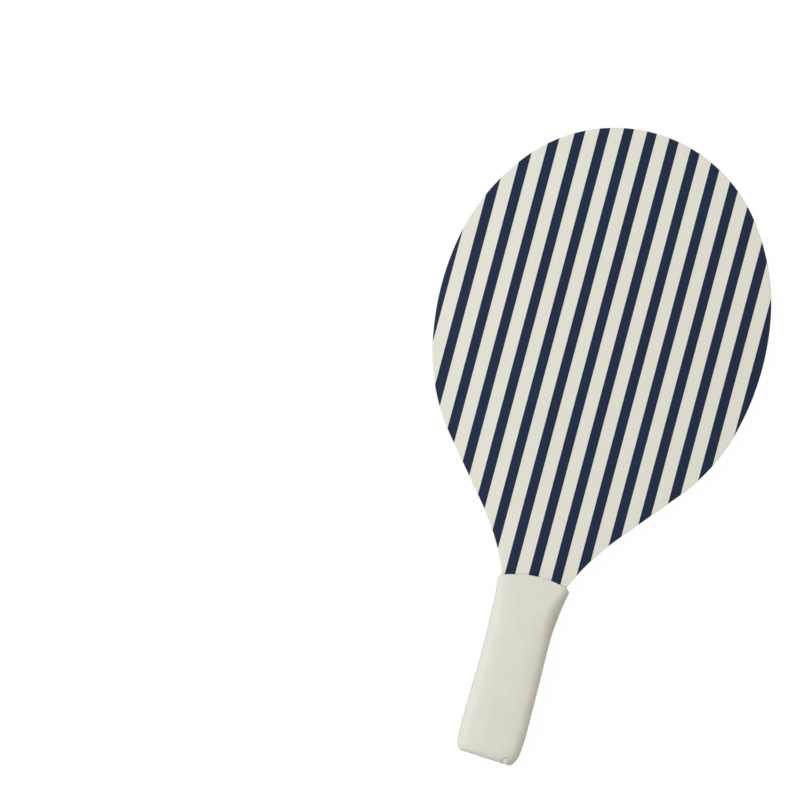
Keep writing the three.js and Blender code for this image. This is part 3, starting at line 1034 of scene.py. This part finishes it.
def add_camera():
    """The photograph's camera, straight above the print"""
    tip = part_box("front_face_ply")[1].y
    data = bpy.data.cameras.new("camera")
    data.sensor_width = SENSOR_WIDTH
    data.lens = SENSOR_WIDTH * CAMERA_ABOVE_PRINT / PHOTO_SPAN
    camera = bpy.data.objects.new("camera", data)
    camera.location = (-AXIS_TO_CAMERA, tip - TIP_TO_CAMERA, middle + ink_face + CAMERA_ABOVE_PRINT)
    camera.rotation_euler = (0, 0, PHOTO_TURN)
    bpy.context.scene.collection.objects.link(camera)
    bpy.context.scene.camera = camera


def add_lamp(name, direction, share, colour):
    """A square lamp that gives a level face its share of the light at which colours render as written"""
    direction = direction.normalized()
    data = bpy.data.lights.new(name, "AREA")
    data.size = LAMP_SIZE
    data.color = colour
    data.energy = share * (math.pi * LAMP_DISTANCE) ** 2 / abs(direction.z)
    lamp = bpy.data.objects.new(name, data)
    lamp.location = direction * LAMP_DISTANCE
    lamp.rotation_euler = direction.to_track_quat("Z", "Y").to_euler()
    bpy.context.scene.collection.objects.link(lamp)


def seen_rays(graph):
    """1 for rays that show what they meet: those of the camera, of reflections and through glass"""
    path = graph.tree.nodes.new("ShaderNodeLightPath").outputs
    return graph.math("MAXIMUM", path["Is Camera Ray"], graph.math(
        "MAXIMUM", path["Is Glossy Ray"], path["Is Transmission Ray"]))


def add_world():
    """Even light from all round, white where it is seen"""
    world = bpy.data.worlds.new("studio")
    bpy.context.scene.world = world
    graph = Graph(world)
    ambient = 1 - KEY_SHARE - GLANCE_SHARE
    colour = graph.mix(seen_rays(graph), [ambient * part for part in AMBIENT_COLOR] + [1], (1, 1, 1, 1))
    graph.set(graph.tree.nodes["Background"], {"Color": colour})


def add_floor():
    """Pale floor under the resting racket, which lies on the handle and on the back edge of its tip. Seen
    from below it is clear, and the lamp under it shines through."""
    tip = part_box("back_stripe_08")
    slope = (tip[0].z - cad_box[0].z) / (tip[1].y - REST_Y)
    corners = [(x, y, cad_box[0].z + slope * (y - REST_Y)) for x, y in (
        (-FLOOR_HALF, -FLOOR_HALF), (FLOOR_HALF, -FLOOR_HALF), (FLOOR_HALF, FLOOR_HALF),
        (-FLOOR_HALF, FLOOR_HALF))]
    mesh = bpy.data.meshes.new("floor")
    mesh.from_pydata(corners, [], [(0, 1, 2, 3)])
    material = bpy.data.materials.new("floor_paper")
    graph = Graph(material, Base_Color=[FLOOR_SHADE] * 3 + [1], Roughness=0.9, Specular_IOR_Level=0.1)
    white = graph.add("ShaderNodeEmission", {
        "Strength": (1 - FLOOR_SHADE * FLOOR_SHADOW) / (1 - FLOOR_SHADOW)})
    clear = graph.add("ShaderNodeBsdfTransparent")
    seen = graph.math("MULTIPLY", seen_rays(graph), 1 - FLOOR_SHADOW)
    paper = graph.mix_shaders(seen, graph.shader.outputs[0], white)
    below = graph.add("ShaderNodeNewGeometry", output="Backfacing")
    lit_through = graph.add("ShaderNodeLightPath", output="Is Shadow Ray")
    sides = graph.mix_shaders(graph.math("MAXIMUM", below, lit_through), paper, clear)
    graph.set(graph.tree.nodes["Material Output"], {"Surface": sides})
    mesh.materials.append(material)
    floor = bpy.data.objects.new("floor", mesh)
    bpy.context.scene.collection.objects.link(floor)


add_camera()
build_blade()
sleeve_skin = build_sleeve()
build_stitches(sleeve_skin)
for face_name, face_side in FACES.items():
    build_pad(f"{face_name}_foam_pad", face_side, f"{face_name}_grip_pad")
add_lamp("key", KEY_DIRECTION, KEY_SHARE, KEY_COLOR)
add_lamp("glance", GLANCE_DIRECTION, GLANCE_SHARE, GLANCE_COLOR)
add_lamp("under", UNDER_DIRECTION, UNDER_SHARE, UNDER_COLOR)
add_world()
add_floor()
bpy.context.scene.view_settings.view_transform = "Standard"
